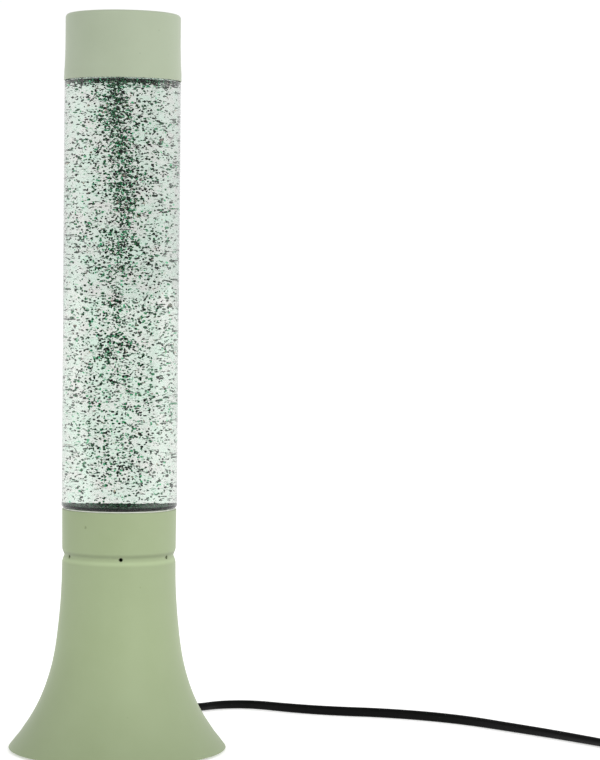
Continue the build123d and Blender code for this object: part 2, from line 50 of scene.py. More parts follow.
# ------------------------------------------------------------------ camera
yaw, pitch, roll = math.radians(3.867), math.radians(2.27), math.radians(0.63)
look = Vector((math.sin(yaw) * math.cos(pitch), math.cos(yaw) * math.cos(pitch), -math.sin(pitch)))
right = look.cross(Z).normalized()
up = right.cross(look)
right2 = math.cos(roll) * right + math.sin(roll) * up
up2 = -math.sin(roll) * right + math.cos(roll) * up
cam_data = bpy.data.cameras.new("camera")
cam_data.sensor_width = 36.0
cam_data.lens = 125.97
cam_data.clip_start, cam_data.clip_end = 0.05, 60.0
cam = bpy.data.objects.new("camera", cam_data)
scene.collection.objects.link(cam)
m = Matrix.Identity(4)
for k, axis in enumerate((right2, up2, -look)):
    for j in range(3):
        m[j][k] = axis[j]
m.translation = Vector((0, -1.450, 0.2605))
cam.matrix_world = m
scene.camera = cam


# ------------------------------------------------------------------ mesh helpers
def link(name, me, material=None, body="base", sharp=38.0):
    """A mesh as a piece that rides on a body, smooth but for its real edges."""
    for p in me.polygons:
        p.use_smooth = True
    me.set_sharp_from_angle(angle=math.radians(sharp))
    o = bpy.data.objects.new(name, me)
    scene.collection.objects.link(o)
    if material is not None:
        me.materials.clear()
        me.materials.append(material)
    if body:
        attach(o, body)
    return o


def mesh(name, verts, faces):
    me = bpy.data.meshes.new(name)
    me.from_pydata([tuple(v) for v in verts], [], faces)
    me.validate()
    me.update()
    return me


def cubic(pts, per=4, start=None, end=None):
    """Points on a smooth curve through pts, with the given directions at its ends."""
    p = np.array(pts, float)
    n = len(p)
    h = np.linalg.norm(np.diff(p, axis=0), axis=1)
    a, b = np.zeros((n, n)), np.zeros((n, p.shape[1]))
    a[0, 0] = a[-1, -1] = 1
    b[0] = (p[1] - p[0]) / h[0] if start is None else np.array(start, float) / np.linalg.norm(start)
    b[-1] = (p[-1] - p[-2]) / h[-1] if end is None else np.array(end, float) / np.linalg.norm(end)
    for i in range(1, n - 1):
        a[i, i - 1], a[i, i], a[i, i + 1] = h[i], 2 * (h[i - 1] + h[i]), h[i - 1]
        b[i] = 3 * (h[i - 1] * (p[i + 1] - p[i]) / h[i] + h[i] * (p[i] - p[i - 1]) / h[i - 1])
    s = np.linalg.solve(a, b)
    out = [p[0]]
    for i in range(n - 1):
        for k in range(1, per + 1):
            t = k / per
            t2, t3 = t * t, t * t * t
            out.append((2 * t3 - 3 * t2 + 1) * p[i] + (t3 - 2 * t2 + t) * h[i] * s[i]
                       + (-2 * t3 + 3 * t2) * p[i + 1] + (t3 - t2) * h[i] * s[i + 1])
    return [tuple(q) for q in out]


def rounded(pts, closed=True, steps=5):
    """A profile of (r, z) or (r, z, fillet) points, with the corners that have a fillet rounded."""
    out, n = [], len(pts)
    for i, q in enumerate(pts):
        f = q[2] if len(q) > 2 else 0
        if not f or (not closed and i in (0, n - 1)):
            out.append((q[0], q[1]))
            continue
        b = Vector((q[0], q[1]))
        u = (Vector(pts[i - 1][:2]) - b).normalized()
        v = (Vector(pts[(i + 1) % n][:2]) - b).normalized()
        half = u.angle(v) / 2
        back = f / math.tan(half)
        mid = b + (u + v).normalized() * (f / math.sin(half))
        a0, a1 = b + u * back - mid, b + v * back - mid
        ang = a0.angle_signed(a1)
        for k in range(steps + 1):
            t = -ang * k / steps
            c, s = math.cos(t), math.sin(t)
            out.append((mid.x + a0.x * c - a0.y * s, mid.y + a0.x * s + a0.y * c))
    return out


def lathe(name, prof, segs=192, closed=True, phase=0.0, wobble=None):
    """A solid of revolution about Z from (r, z) points in mm. An open profile runs from the axis to the axis."""
    prof = [(max(r, 0.0), z) for r, z in prof]
    ang = [2 * math.pi * (k + phase) / segs for k in range(segs)]
    verts, faces, rows = [], [], []
    for r, z in prof:
        if r < 1e-6:
            rows.append([len(verts)] * segs)
            verts.append((0, 0, z * MM))
        else:
            rows.append(list(range(len(verts), len(verts) + segs)))
            for t in ang:
                d = wobble(t, r, z) if wobble else (0, 0)
                verts.append(((r + d[0]) * math.cos(t) * MM, (r + d[0]) * math.sin(t) * MM, (z + d[1]) * MM))
    pairs = list(zip(rows, rows[1:] + rows[:1])) if closed else list(zip(rows, rows[1:]))
    for lo, hi in pairs:
        for k in range(segs):
            j = (k + 1) % segs
            f = []
            for i in (lo[k], lo[j], hi[j], hi[k]):
                if i not in f:
                    f.append(i)
            if len(f) > 2:
                faces.append(f)
    me = mesh(name, verts, faces)
    return outward(me)


def outward(me):
    """Turns the faces outward, by the sign of the volume they enclose."""
    me.calc_loop_triangles()
    co = np.empty(len(me.vertices) * 3)
    me.vertices.foreach_get("co", co)
    co = co.reshape(-1, 3)
    tri = np.empty(len(me.loop_triangles) * 3, dtype=np.int64)
    me.loop_triangles.foreach_get("vertices", tri)
    tri = tri.reshape(-1, 3)
    vol = np.einsum("ij,ij->i", co[tri[:, 0]], np.cross(co[tri[:, 1]], co[tri[:, 2]])).sum()
    if vol < 0:
        me.flip_normals()
    return me


def evaluated(o):
    dg = bpy.context.evaluated_depsgraph_get()
    dg.update()
    return bpy.data.meshes.new_from_object(o.evaluated_get(dg))


def cut(me, cutters):
    """me with the given closed meshes taken away."""
    o = bpy.data.objects.new("tmp", me)
    scene.collection.objects.link(o)
    made = [o]
    for c in cutters:
        k = bpy.data.objects.new("tmp_cut", c)
        scene.collection.objects.link(k)
        made.append(k)
        b = o.modifiers.new("b", "BOOLEAN")
        b.operation, b.solver, b.object = "DIFFERENCE", "EXACT", k
    out = evaluated(o)
    for q in made:
        bpy.data.objects.remove(q)
    return out


def bar(name, p, q, r, n=28):
    """A closed round bar from p to q, in mm."""
    p, q = Vector(p), Vector(q)
    rot = (q - p).to_track_quat("Z", "Y").to_matrix()
    verts = []
    for base in (p, q):
        for k in range(n):
            t = 2 * math.pi * k / n
            verts.append((base + rot @ Vector((r * math.cos(t), r * math.sin(t), 0))) * MM)
    faces = [[k, (k + 1) % n, n + (k + 1) % n, n + k] for k in range(n)]
    faces += [list(range(n - 1, -1, -1)), list(range(n, 2 * n))]
    return outward(mesh(name, verts, faces))


def join(name, parts):
    verts, faces = [], []
    for vs, fs in parts:
        k = len(verts)
        verts += list(vs)
        faces += [[i + k for i in f] for f in fs]
    return mesh(name, verts, faces)


# ------------------------------------------------------------------ materials
def new_mat(name):
    mt = bpy.data.materials.new(name)
    mt.use_nodes = True
    nt = mt.node_tree
    bsdf = nt.nodes["Principled BSDF"]
    tc = nt.nodes.new("ShaderNodeTexCoord")
    return mt, nt, bsdf, tc.outputs["Object"]


def lin(c):
    """sRGB 0-255 to linear."""
    out = []
    for v in c:
        v /= 255.0
        out.append(v / 12.92 if v <= 0.04045 else ((v + 0.055) / 1.055) ** 2.4)
    return (*out, 1.0)


def noise(nt, vec, scale, detail=3.0, rough=0.55, stretch=None):
    n = nt.nodes.new("ShaderNodeTexNoise")
    n.inputs["Scale"].default_value = scale
    n.inputs["Detail"].default_value = detail
    n.inputs["Roughness"].default_value = rough
    if stretch:
        mp = nt.nodes.new("ShaderNodeMapping")
        mp.inputs["Scale"].default_value = stretch
        nt.links.new(vec, mp.inputs["Vector"])
        vec = mp.outputs["Vector"]
    nt.links.new(vec, n.inputs["Vector"])
    return n.outputs["Fac"]


def ramp(nt, fac, lo, hi, a, b):
    r = nt.nodes.new("ShaderNodeMapRange")
    r.inputs["From Min"].default_value, r.inputs["From Max"].default_value = lo, hi
    r.inputs["To Min"].default_value, r.inputs["To Max"].default_value = a, b
    nt.links.new(fac, r.inputs["Value"])
    return r.outputs["Result"]


def blend_col(nt, fac, a, b):
    mx = nt.nodes.new("ShaderNodeMix")
    mx.data_type = "RGBA"
    nt.links.new(fac, mx.inputs[0])
    for sock, v in ((mx.inputs[6], a), (mx.inputs[7], b)):
        if isinstance(v, bpy.types.NodeSocket):
            nt.links.new(v, sock)
        else:
            sock.default_value = v
    return mx.outputs[2]


def bump(nt, bsdf, height, strength, dist, chain=None):
    b = nt.nodes.new("ShaderNodeBump")
    b.inputs["Strength"].default_value = strength
    b.inputs["Distance"].default_value = dist
    nt.links.new(height, b.inputs["Height"])
    if chain is not None:
        nt.links.new(chain, b.inputs["Normal"])
    nt.links.new(b.outputs["Normal"], bsdf.inputs["Normal"])
    return b.outputs["Normal"]


def surface(name, c1, c2, rough=(0.35, 0.5), scale=60.0, fine=900.0, bump_mm=0.02, metal=0.0, stretch=None, spec=0.5, detail=3.0):
    """Two tones in a soft mottle, a roughness that varies, and a fine relief."""
    mt, nt, bsdf, vec = new_mat(name)
    n1 = noise(nt, vec, scale, detail, 0.6, stretch)
    n2 = noise(nt, vec, fine, 2.0, 0.5, stretch)
    nt.links.new(blend_col(nt, ramp(nt, n1, 0.32, 0.68, 0, 1), lin(c1), lin(c2)), bsdf.inputs["Base Color"])
    nt.links.new(ramp(nt, n1, 0.3, 0.7, rough[0], rough[1]), bsdf.inputs["Roughness"])
    bump(nt, bsdf, n2, 1.0, bump_mm * MM)
    bsdf.inputs["Metallic"].default_value = metal
    bsdf.inputs["Specular IOR Level"].default_value = spec
    return mt


def paint(name, tones, marks=(), groove=None):
    """Satin powder coat: a fine orange peel, faint mottling, a darker skirt near the hem and small scuffs.

    The darker skirt and the groove's bands are shading put into the colour to match the look, not known wear. The soft
    vertical lighter streaks are a painted sheen."""
    mt, nt, bsdf, vec = new_mat(name)
    soft = noise(nt, vec, 22.0, 4.0, 0.6)
    # painted sheen: soft vertical streaks, stretched along Z, that lighten the coat
    painted_sheen_streak = noise(nt, vec, 30.0, 2.0, 0.5, (1.0, 1.0, 0.12))
    peel = noise(nt, vec, 1150.0, 1.0, 0.4)
    grit = noise(nt, vec, 2600.0, 0.0, 0.5)
    col = blend_col(nt, ramp(nt, soft, 0.3, 0.7, 0, 1), lin(tones[0]), lin(tones[1]))
    # painted sheen: the vertical streaks lift the coat up to about a third of the way towards the third, lighter tone
    col = blend_col(nt, ramp(nt, painted_sheen_streak, 0.35, 0.65, 0, 0.35), col, lin(tones[2]))
    specks = noise(nt, vec, 420.0, 3.0, 0.7)
    col = blend_col(nt, ramp(nt, specks, 0.70, 0.76, 0, 0.35), col, lin((120, 132, 104)))
    for x, y, z, r in marks:
        d = nt.nodes.new("ShaderNodeVectorMath")
        d.operation = "DISTANCE"
        nt.links.new(vec, d.inputs[0])
        d.inputs[1].default_value = (x * MM, y * MM, z * MM)
        edge = nt.nodes.new("ShaderNodeMath")
        edge.operation = "ADD"
        nt.links.new(d.outputs["Value"], edge.inputs[0])
        nt.links.new(ramp(nt, noise(nt, vec, 1400.0, 2.0), 0.3, 0.7, -0.35 * r * MM, 0.35 * r * MM), edge.inputs[1])
        col = blend_col(nt, ramp(nt, edge.outputs[0], 0.35 * r * MM, 1.25 * r * MM, 0.55, 0), col, lin((112, 126, 92)))
    height = nt.nodes.new("ShaderNodeSeparateXYZ")
    nt.links.new(vec, height.inputs[0])
    low = ramp(nt, height.outputs["Z"], -0.004, 0.060, 0.34, 0.0)        # painted-in shading: darker towards the hem
    col = blend_col(nt, low, col, lin(tuple(int(v * 0.74) for v in tones[0])))
    if groove:                                # painted-in shading: dark under the groove's upper edge, light lip below it
        for lo, hi, amount, k in ((-0.2, 3.0, 0.75, 0.84), (-4.0, -0.5, 0.7, 1.12)):
            m, w = (lo + hi) / 2, (hi - lo) / 4
            rise = ramp(nt, height.outputs["Z"], (groove + lo) * MM, (groove + m - w * 0.4) * MM, 0, amount)
            fall = ramp(nt, height.outputs["Z"], (groove + m + w * 0.4) * MM, (groove + hi) * MM, amount, 0)
            both = nt.nodes.new("ShaderNodeMath")
            both.operation = "MINIMUM"
            nt.links.new(rise, both.inputs[0])
            nt.links.new(fall, both.inputs[1])
            col = blend_col(nt, both.outputs[0], col, lin(tuple(min(255, int(v * k)) for v in tones[1])))
    nt.links.new(col, bsdf.inputs["Base Color"])
    nt.links.new(ramp(nt, soft, 0.3, 0.7, 0.36, 0.46), bsdf.inputs["Roughness"])
    n1 = bump(nt, bsdf, peel, 0.5, 0.012 * MM)
    bump(nt, bsdf, grit, 0.5, 0.004 * MM, n1)
    bsdf.inputs["Specular IOR Level"].default_value = 0.3
    return mt


def clear(name, ior, tint, rough=0.0):
    mt, nt, bsdf, vec = new_mat(name)
    bsdf.inputs["Transmission Weight"].default_value = 1.0
    bsdf.inputs["IOR"].default_value = ior
    bsdf.inputs["Roughness"].default_value = rough
    n = noise(nt, vec, 9.0, 2.0)
    a = tuple(v * 0.985 for v in tint[:3]) + (1.0,)
    nt.links.new(blend_col(nt, ramp(nt, n, 0.3, 0.7, 0, 1), a, tint), bsdf.inputs["Base Color"])
    return mt, nt, bsdf, vec


M = {}
# the third tone of each coat is the painted sheen of its vertical streaks
M["sage_paint"] = paint("sage_paint", ((156, 171, 132), (162, 177, 139), (167, 181, 144)), [(-17.9, -25.2, 123.8, 0.8), (11.5, -28.7, 92.0, 0.3)], 106.95)
M["cap_paint"] = paint("cap_paint", ((177, 189, 163), (183, 195, 170), (187, 198, 175)), [(9.0, -30.1, 377.0, 0.3)])
M["zinc_steel"] = surface("zinc_steel", (176, 178, 180), (200, 201, 199), (0.28, 0.45), 140, 2400, 0.006, 1.0, (1, 1, 1))
M["black_rubber"] = surface("black_rubber", (28, 28, 29), (40, 40, 41), (0.6, 0.8), 200, 1800, 0.03)
M["white_thermoset"] = surface("white_thermoset", (222, 218, 205), (232, 229, 219), (0.32, 0.45), 90, 1500, 0.008)
M["brass"] = surface("brass", (196, 155, 84), (214, 176, 106), (0.22, 0.36), 160, 2600, 0.004, 1.0)
M["cord_pvc"] = surface("cord_pvc", (4, 4, 4), (8, 8, 8), (0.34, 0.46), 220, 2200, 0.01, spec=0.1)
M["wire_pvc"] = surface("wire_pvc", (44, 96, 168), (58, 112, 182), (0.35, 0.5), 200, 1500, 0.01)
M["relief_pvc"] = surface("relief_pvc", (20, 20, 21), (30, 30, 31), (0.45, 0.6), 260, 2400, 0.012)
M["tie_wire"] = surface("tie_wire", (24, 24, 25), (36, 36, 37), (0.4, 0.55), 300, 2600, 0.01)
M["switch_plastic"] = surface("switch_plastic", (22, 22, 23), (31, 31, 32), (0.42, 0.55), 150, 1900, 0.03)
M["rocker_plastic"] = surface("rocker_plastic", (24, 24, 25), (32, 32, 33), (0.16, 0.26), 150, 1400, 0.003)
M["plug_pvc"] = surface("plug_pvc", (20, 20, 21), (30, 30, 31), (0.42, 0.56), 150, 1700, 0.02)
M["nickel_brass"] = surface("nickel_brass", (196, 193, 182), (214, 211, 201), (0.16, 0.28), 240, 2600, 0.003, 1.0)
M["solder"] = surface("solder", (150, 150, 150), (186, 186, 184), (0.35, 0.55), 700, 2600, 0.03, 1.0)
M["black_glass"] = surface("black_glass", (18, 16, 20), (30, 26, 32), (0.08, 0.16), 300, 2000, 0.004)
M["tungsten"] = surface("tungsten", (104, 102, 100), (140, 138, 134), (0.3, 0.45), 900, 4000, 0.004, 1.0)
M["white_silicone"] = surface("white_silicone", (226, 228, 222), (238, 239, 233), (0.35, 0.5), 120, 1600, 0.01)
M["closure_plastic"] = surface("closure_plastic", (26, 29, 27), (38, 41, 38), (0.32, 0.46), 140, 1700, 0.012)
M["foam"] = surface("foam", (60, 60, 62), (92, 92, 94), (0.85, 0.95), 1300, 2200, 0.25)
M["clear_glass"], nt, bs, vec = clear("clear_glass", 1.48, (0.95, 0.965, 0.95, 1))
M["clear_liquid"], nt, bs, vec = clear("clear_liquid", 1.34, (0.86, 0.92, 0.86, 1))
painted_glow = noise(nt, vec, 150.0, 3.0, 0.55)          # painted glow: a patchy mint tint on the liquid's surface standing in for pale mint halos round the flakes, for look only
# painted glow: the liquid's tint swings between a pinkish grey and a mint in soft patches
nt.links.new(blend_col(nt, ramp(nt, painted_glow, 0.36, 0.62, 0, 1), (0.885, 0.865, 0.855, 1), (0.77, 0.925, 0.835, 1)), bs.inputs["Base Color"])
# The reflector bulb: silvered inside up to its widest ring, frosted over its front.
mt, nt, bs, vec = clear("bulb_glass", 1.48, (0.96, 0.97, 0.97, 1), 0.35)
sep = nt.nodes.new("ShaderNodeSeparateXYZ")
nt.links.new(vec, sep.inputs[0])
nt.links.new(ramp(nt, sep.outputs["Z"], 0.0832, 0.0836, 1.0, 0.0), bs.inputs["Metallic"])
nt.links.new(ramp(nt, sep.outputs["Z"], 0.0832, 0.0836, 0.14, 0.42), bs.inputs["Roughness"])
M["bulb_glass"] = mt
M["collar"] = surface("collar", (226, 231, 218), (240, 243, 232), (0.22, 0.35), 120, 1500, 0.006)
bsdf = M["collar"].node_tree.nodes["Principled BSDF"]
bsdf.inputs["Subsurface Weight"].default_value = 0.0


def flake_mat(name, c1, c2, metal, rough, painted_glow=0.0):
    mt, nt, bsdf, vec = new_mat(name)
    n = noise(nt, vec, 420.0, 0.0, 0.5)
    col = blend_col(nt, ramp(nt, n, 0.35, 0.65, 0, 1), lin(c1), lin(c2))
    nt.links.new(col, bsdf.inputs["Base Color"])
    nt.links.new(ramp(nt, noise(nt, vec, 900.0, 0.0), 0.3, 0.7, rough, rough + 0.12), bsdf.inputs["Roughness"])
    bsdf.inputs["Metallic"].default_value = metal
    bsdf.inputs["Specular IOR Level"].default_value = 0.12
    return mt


# ------------------------------------------------------------------ the lead: one smooth line from the strain relief to the plug
LEAD = [(0, 82, 8.5), (0, 92.5, 8.5), (4.1, 104.8, 6.6), (12, 115.2, 4.1), (23.2, 119.5, 2.6), (36.0, 121.5, 2.4),
        (48.5, 124.5, 2.4), (60.5, 134.0, 2.4), (80, 135.6, 2.5), (103, 119.6, 2.6), (128, 109.0, 2.6), (153, 103.4, 2.6),
        (178, 92.8, 2.6), (203, 76.0, 2.6), (223, 54.6, 2.5), (243, 34.2, 2.4), (262, 11.6, 2.3), (277.5, -7, 2.3),
        (289, -21.5, 2.5), (298, -33.2, 3.1), (303.2, -44, 4.5), (304, -56, 5.0)]
TAIL = [(304, -116, 5.0), (304.2, -129, 3.9), (309.3, -141, 3.35), (318.5, -150.2, 3.1), (330.5, -155, 3.1)]
END = [(389.3, -107, 7.9), (389, -93.5, 6.9), (389, -82, 6.85)]
CX, CY = 356.0, -122.0


def coil_points():
    """Three turns lying on the floor, winding inward, then two and a quarter on top of them, winding out."""
    out, per, turns = [], 16, 5.25
    for k in range(1, int(per * turns) + 1):
        t = k / per
        if t <= 3:
            step = min(2, int(t + 0.12))
            ease = min(1.0, max(0.0, (t + 0.12 - step) / 0.24)) if step else 0.0
            r = 32.9 - 3.4 * (max(step - 1, 0) + (ease if step else 0))
            z = 3.1 if t < 2.62 else 3.1 + 5.2 * min(1.0, (t - 2.62) / 0.44)
        else:
            u = t - 3
            step = min(2, int(u + 0.12))
            ease = min(1.0, max(0.0, (u + 0.12 - step) / 0.24)) if step else 0.0
            r = 26.1 + 3.4 * (max(step - 1, 0) + (ease if step else 0))
            z = 3.1 + 5.2 * min(1.0, (t - 2.62) / 0.44)
        r += 0.14 * math.sin(2.7 * t * 2 * math.pi + 0.6)
        a = -math.pi / 2 + 2 * math.pi * t
        out.append((CX + r * math.cos(a), CY + r * math.sin(a), min(z, 8.3)))
    return out


route = LEAD + [(304, -76, 5.0), (304, -96, 5.0)] + TAIL + [(343.0, -154.95, 3.1)] + coil_points() + END
cu = bpy.data.curves.new("route", "CURVE")
cu.dimensions = "3D"
sp = cu.splines.new("NURBS")
sp.points.add(len(route) - 1)
for q, p in zip(sp.points, route):
    q.co = (p[0] * MM, p[1] * MM, p[2] * MM, 1)
sp.order_u = 3
sp.use_endpoint_u = True
cu.resolution_u = 10
tmp = bpy.data.objects.new("route", cu)
scene.collection.objects.link(tmp)
line_me = evaluated(tmp)
line = np.array([v.co[:] for v in line_me.vertices])
bpy.data.objects.remove(tmp)
keep = [0] + [i for i in range(1, len(line)) if np.linalg.norm(line[i] - line[i - 1]) > 1e-6]
line = line[keep]
arc = np.concatenate([[0], np.cumsum(np.linalg.norm(np.diff(line, axis=0), axis=1))])
cord_length = float(arc[-1])


def turn_at(s):
    """How far the flat flex is turned on edge, along its length in metres."""
    x = np.array([0, 0.03, 0.06, 0.10, 0.14, 0.18, 0.215, 0.25, 0.29, 0.33, 0.485, 0.52, 0.55, cord_length - 0.06, cord_length - 0.02])
    y = np.array([0, 0.2, 0.75, 0.95, 1.3, 1.54, 1.54, 1.35, 1.05, 0.85, 0.0, 0.8, 1.5708, 1.5708, 0.0])
    return float(np.interp(s, x, y))


def sweep_flex(name, pts, arcs, half=1.06, r=1.72, n=9):
    """A closed tube of stadium section along pts, turned as turn_at says."""
    sec = []
    for side in (1, -1):
        for k in range(n):
            t = -math.pi / 2 + math.pi * k / (n - 1)
            sec.append((side * (half + r * math.cos(t)), side * r * math.sin(t)))
    verts, faces, c = [], [], len(sec)
    for i, p in enumerate(pts):
        t = pts[min(i + 1, len(pts) - 1)] - pts[max(i - 1, 0)]
        t = t / np.linalg.norm(t)
        side = np.cross(t, (0, 0, 1.0))
        side = side / np.linalg.norm(side)
        top = np.cross(side, t)
        a = turn_at(arcs[i])
        ring = [p + ((u * math.cos(a) - v * math.sin(a)) * side + (u * math.sin(a) + v * math.cos(a)) * top) * MM for u, v in sec]
        lift = max(0.0, 0.03 * MM - min(q[2] for q in ring))      # a standing section still rests on the table
        verts += [q + np.array((0, 0, lift)) for q in ring]
    for i in range(len(pts) - 1):
        for k in range(c):
            j = (k + 1) % c
            faces.append([i * c + k, i * c + j, (i + 1) * c + j, (i + 1) * c + k])
    faces.append(list(range(c)))
    faces.append([(len(pts) - 1) * c + k for k in range(c - 1, -1, -1)])
    return outward(mesh(name, verts, faces))


lead = link("mains_lead", sweep_flex("mains_lead", line, arc), M["cord_pvc"], "base", 60)
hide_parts("cord_lead", "cord_tail", "cord_coil", "cord_end")


# The tie: a flat strip round the bundle, its two ends twisted together on top.
def strip_tie():
    a = math.radians(140)
    out_dir, along = Vector((math.cos(a), math.sin(a), 0)), Vector((-math.sin(a), math.cos(a), 0))
    mid = Vector((CX, CY, 0)) + out_dir * 29.5
    loop = []
    w, z0, z1, rr = 6.35, 0.32, 11.55, 2.2
    for cx, cz, t0 in ((w - rr, z0 + rr, -90), (w - rr, z1 - rr, 0), (-w + rr, z1 - rr, 90), (-w + rr, z0 + rr, 180)):
        for k in range(7):
            t = math.radians(t0 + 15 * k)
            loop.append((cx + rr * math.cos(t), cz + rr * math.sin(t), math.cos(t), math.sin(t)))
    parts = []
    sec = [(-1.45, -0.13), (-1.2, -0.26), (-0.5, -0.16), (0, -0.3), (0.5, -0.16), (1.2, -0.26), (1.45, -0.13),
           (1.45, 0.13), (1.2, 0.26), (0.5, 0.16), (0, 0.3), (-0.5, 0.16), (-1.2, 0.26), (-1.45, 0.13)]
    n, c = len(loop), len(sec)
    vs, fs = [], []
    for x, z, nx, nz in loop:
        for u, v in sec:
            p = mid + out_dir * (x + nx * v) + along * u + Vector((0, 0, z + nz * v))
            vs.append(p * MM)
    for i in range(n):
        for k in range(c):
            j, i2 = (k + 1) % c, (i + 1) % n
            fs.append([i * c + k, i * c + j, i2 * c + j, i2 * c + k])
    parts.append((vs, fs))
    for s in (-1, 1):      # two strands wound round each other, leaning along the coil
        vs, fs, m = [], [], 10
        steps = 30
        for i in range(steps + 1):
            t = i / steps
            base = mid + out_dir * (-1.0 + 1.5 * t) + along * (0.5 + 10.5 * t) + Vector((0, 0, 12.05 - 0.15 * t))
            ph = 2 * math.pi * 3.2 * t + (0 if s > 0 else math.pi)
            off = 0.42 * (1 - 0.2 * t)
            ctr = base + out_dir * (off * math.cos(ph)) + Vector((0, 0, off * math.sin(ph)))
            for k in range(m):
                q = 2 * math.pi * k / m
                vs.append((ctr + out_dir * (0.4 * math.cos(q)) + Vector((0, 0, 0.4 * math.sin(q)))) * MM)
        for i in range(steps):
            for k in range(m):
                j = (k + 1) % m
                fs.append([i * m + k, i * m + j, (i + 1) * m + j, (i + 1) * m + k])
        fs.append(list(range(m)))
        fs.append([steps * m + k for k in range(m - 1, -1, -1)])
        parts.append((vs, fs))
    return outward(join("twist_tie", parts))


tie = link("twist_tie", strip_tie(), M["tie_wire"], "base", 50)
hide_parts("coil_tie")

# ------------------------------------------------------------------ base shell
FLARE = [(59.7, 1.2), (58.35, 2.9), (55.9, 6.05), (53.15, 9.5), (50.8, 12.95), (48.55, 16.25), (46.55, 19.5), (44.68, 22.85),
         (43.05, 26.1), (41.52, 29.45), (39.02, 36.0), (36.98, 42.6), (35.35, 49.2), (34.15, 55.75), (33.25, 62.35), (32.5, 69.05),
         (31.87, 75.6), (31.37, 82.2), (31.02, 88.75), (30.8, 95.35), (30.72, 101.9)]
GROOVE = [(30.92, 101.9), (30.87, 103.3), (30.5, 104.7), (29.98, 106.0), (29.74, 106.95), (29.98, 107.9), (30.52, 109.2), (30.9, 110.5), (30.95, 112.0)]
FLARE = [(r + 0.2 * min(1.0, max(0.0, (z - 8.0) / 22.0)), z) for r, z in FLARE]
flare = cubic(FLARE, 4, (-0.62, 0.78), (-0.02, 1))
groove = cubic(GROOVE, 4, (-0.02, 1), (0.02, 1))
outer = flare + groove[1:]


def inset(pts, d):
    out = []
    for i in range(len(pts)):
        a, b = Vector(pts[max(i - 1, 0)]), Vector(pts[min(i + 1, len(pts) - 1)])
        t = (b - a).normalized()
        out.append((pts[i][0] - t.y * d, pts[i][1] + t.x * d))
    return out


inner = [p for p in inset(outer, 0.8) if p[1] > 2.6]
wall = outer[2:] + rounded([(30.95, 112.0), (31.02, 122.0), (31.08, 132.0, 0.28), (30.25, 132.0, 0.28), (30.2, 122.0)], False)[1:]
hem = rounded([(52.5, 2.0, 0.25), (52.5, 1.2, 0.25), (59.55, 1.2, 0.35), (outer[2][0], outer[2][1])], False)
prof = hem[:-1] + wall + inner[::-1] + [(55.9, 2.02), (52.5, 2.0)][:1]
shell = lathe("base_shell_spun", [(52.5, 1.9)] + hem[1:-1] + wall + inner[::-1] + [(56.2, 2.0), (52.75, 2.0)], 300)
cutters = []
for a in (-63.5, 2.0, 59.5, 121.0, 182.0, 238.0):
    t = math.radians(a)
    d = Vector((math.sin(t), -math.cos(t), 0))
    cutters.append(bar("vent", d * 26 + Z * 106.95, d * 34 + Z * 106.95, 1.05, 24))
cutters.append(bar("rear", (0, 44, 8.5), (0, 66, 8.5), 3.95, 40))
for a in (30, 150, 270):
    x, y = 54.5 * math.cos(math.radians(a)), 54.5 * math.sin(math.radians(a))
    cutters.append(bar("screw", (x, y, 0.5), (x, y, 2.4), 1.3, 24))
shell = cut(shell, cutters)
base_obj = link("base_shell_spun", shell, M["sage_paint"], "base", 42)
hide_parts("base_shell")

# ------------------------------------------------------------------ cap
CAP = [(31.75, 364.6), (31.75, 366.0), (31.66, 369.0), (31.45, 372.2), (31.32, 375.6), (31.22, 379.5), (31.15, 385.0)]
cap_out = cubic(CAP, 3, (0, 1), (0, 1))
cap_in = [(r - 0.6, z) for r, z in cap_out]
edge = rounded([(31.15, 390.0), (31.15, 400.0, 2.0), (24.0, 400.0)], False, 10)
inner_edge = rounded([(24.0, 399.2), (30.55, 399.2, 1.35), (30.55, 390.0)], False, 8)
rim = rounded([cap_in[0], (31.15, 364.2, 0.25), (31.75, 364.2, 0.25), cap_out[0]], False, 4)
cap_me = lathe("top_cap_spun", [(0, 399.2), (12, 399.2)] + inner_edge + cap_in[::-1][:-1] + rim[:-1] + cap_out + edge + [(12, 400.0), (0, 400.0)], 256, False)
cap_obj = link("top_cap_spun", cap_me, M["cap_paint"], "cap", 42)
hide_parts("top_cap")

# ------------------------------------------------------------------ bottle, collar, liquid
neck_out = cubic([(29.9, 368.0), (26.5, 372.6), (19.0, 376.2), (14.2, 379.4), (13.0, 382.5)], 6, (0, 1), (0, 1))
neck_in = cubic([(27.9, 366.8), (25.0, 370.6), (17.8, 374.0), (12.4, 377.6), (11.0, 381.5)], 6, (-0.1, 1), (0, 1))
glass_prof = rounded([(0, 132.7), (31.5, 132.7, 1.5), (31.5, 364.0, 0.7), (29.9, 364.0, 0.3), (29.9, 368.0)], False, 9)[:-1]
glass_prof += neck_out + rounded([(13.0, 382.5), (13.0, 389.0, 0.4), (11.0, 389.0, 0.4), (11.0, 381.5)], False, 4)[1:-1]
glass_prof += neck_in[::-1]
glass_prof += rounded([(27.9, 366.8), (27.9, 364.95, 0.6), (29.5, 363.5, 0.5), (29.5, 133.9, 1.3), (0, 133.9)], False, 9)[1:]
bottle = link("bottle_glass", lathe("bottle_glass", glass_prof, 256, False), M["clear_glass"], "bottle", 50)
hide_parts("glass_bottle")
liquid_prof = rounded([(0, 133.86), (29.56, 133.86, 1.3), (29.56, 363.52, 0.5), (27.96, 364.97, 0.6), (27.96, 366.5), (27.0, 366.2), (24.0, 366.1), (0, 366.1)], False, 9)
liquid = link("liquid_body", lathe("liquid_body", liquid_prof, 256, False), M["clear_liquid"], "bottle", 50)
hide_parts("liquid_fill")
collar_prof = rounded([(28.2, 121.0, 0.3), (29.7, 121.0, 0.5), (29.7, 132.0, 0.1), (30.6, 132.0, 0.3), (30.6, 132.7, 0.3), (25.0, 132.7, 0.3), (25.0, 132.0, 0.3), (28.2, 132.0, 0.3)], True, 5)
collar = link("foot_ring", lathe("foot_ring", collar_prof, 256), M["collar"], "bottle", 42)
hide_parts("foot_collar")

